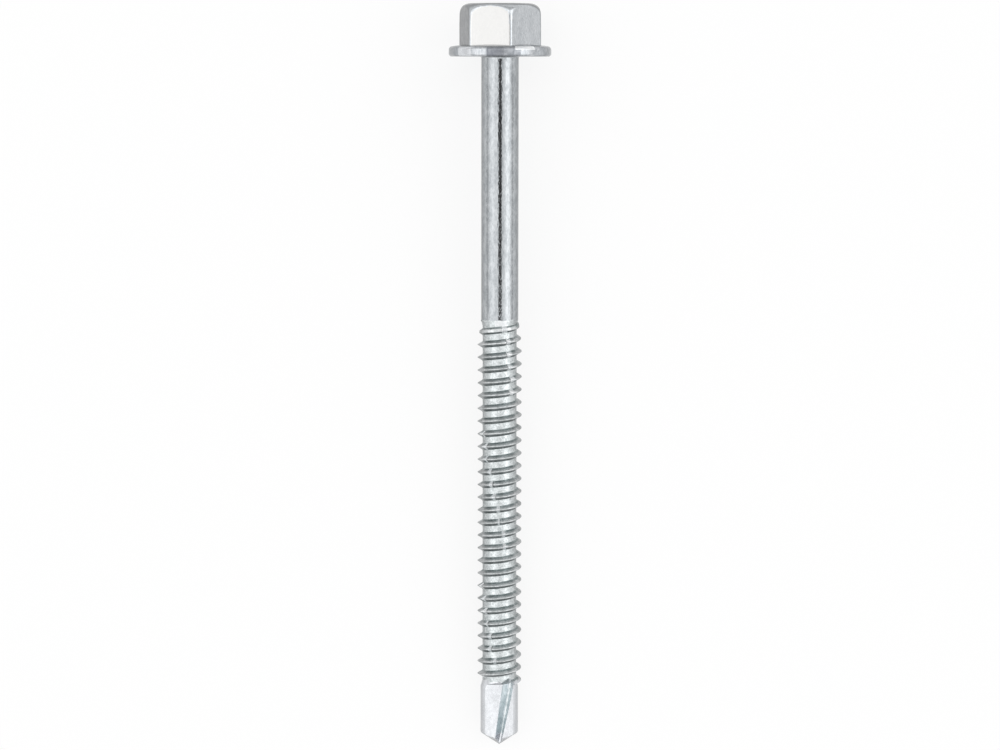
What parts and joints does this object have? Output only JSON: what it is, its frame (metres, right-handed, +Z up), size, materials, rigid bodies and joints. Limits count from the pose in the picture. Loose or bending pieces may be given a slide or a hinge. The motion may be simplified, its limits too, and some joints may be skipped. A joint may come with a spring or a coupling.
{
  "type": "self drilling screw",
  "caption": "Long hexagon washer head self drilling screw in zinc plated steel, with a partly threaded shank and a fluted drill point.",
  "frame": {"origin": "on the surface that the screw lies on, under the centre of the screw's bounding box", "axes": "+Y towards the head, nearly along the screw's axis, which falls 2.6 degrees from the head to the drill point; +Z up; +X to the right with the head away from the viewer"},
  "size_m": [0.0138, 0.1022, 0.0139],
  "materials": {
    "zinc_plated_steel": "bright zinc plating with a fine mottle"
  },
  "bodies": {
    "root": {"screw": "zinc_plated_steel"}
  },
  "joints": []
}
